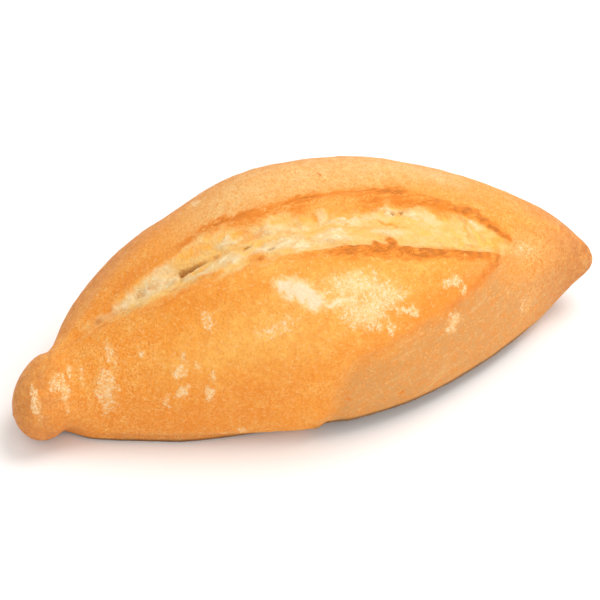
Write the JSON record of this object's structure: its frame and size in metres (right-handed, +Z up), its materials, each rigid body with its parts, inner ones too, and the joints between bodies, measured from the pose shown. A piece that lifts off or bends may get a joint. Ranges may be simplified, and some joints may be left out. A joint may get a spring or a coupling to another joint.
{
  "type": "rustic sandwich roll",
  "caption": "Spindle-shaped crusty sandwich roll with a pinched knob at one tip, a point at the other and one long slash along the top that has torn open to the crumb.",
  "frame": {"origin": "on the resting plane, under the middle of the bounding box", "axes": "+X from the knob to the point, +Z up, -Y towards the broad near flank that the picture shows"},
  "size_m": [0.19, 0.0836, 0.059],
  "materials": {
    "crust": "matte baked crust, floury in places"
  },
  "bodies": {
    "root": {"roll": "crust"}
  },
  "joints": []
}
